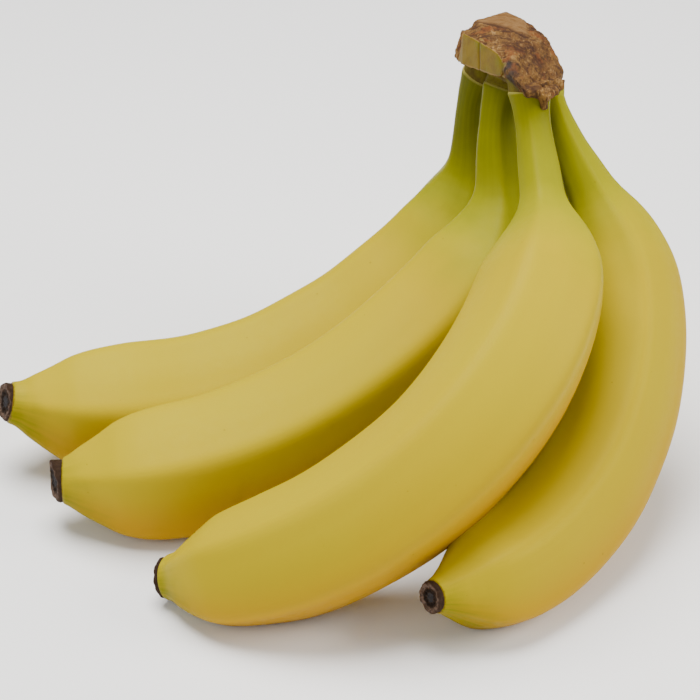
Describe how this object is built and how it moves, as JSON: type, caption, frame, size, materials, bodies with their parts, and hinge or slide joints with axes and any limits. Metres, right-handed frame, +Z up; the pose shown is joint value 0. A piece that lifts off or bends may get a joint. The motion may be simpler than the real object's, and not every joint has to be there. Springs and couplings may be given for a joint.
{
  "type": "bunch of bananas",
  "caption": "Hand of ripe yellow bananas joined at a cut brown crown, lying on the backs of the fingers with the crown up.",
  "frame": {"origin": "middle of the bunch's footprint, on the table that it lies on", "axes": "+X to the right with the finger tips towards -X and the crown on the +X side, -Y towards the viewer, +Z up"},
  "size_m": [0.1892, 0.1608, 0.1155],
  "materials": {
    "banana_skin": "satin natural fruit skin, yellow with green at the neck and tip",
    "dried_flower": "dry, rough dark brown",
    "crown_cut": "dry fibrous brown cut face with some yellow-green skin"
  },
  "bodies": {
    "root": {"banana_1": "banana_skin", "banana_2": "banana_skin", "banana_3": "banana_skin", "banana_4": "banana_skin", "banana_5": "banana_skin", "blossom_end_1": "dried_flower", "blossom_end_2": "dried_flower", "blossom_end_3": "dried_flower", "blossom_end_4": "dried_flower", "blossom_end_5": "dried_flower", "crown": "crown_cut"}
  },
  "joints": []
}
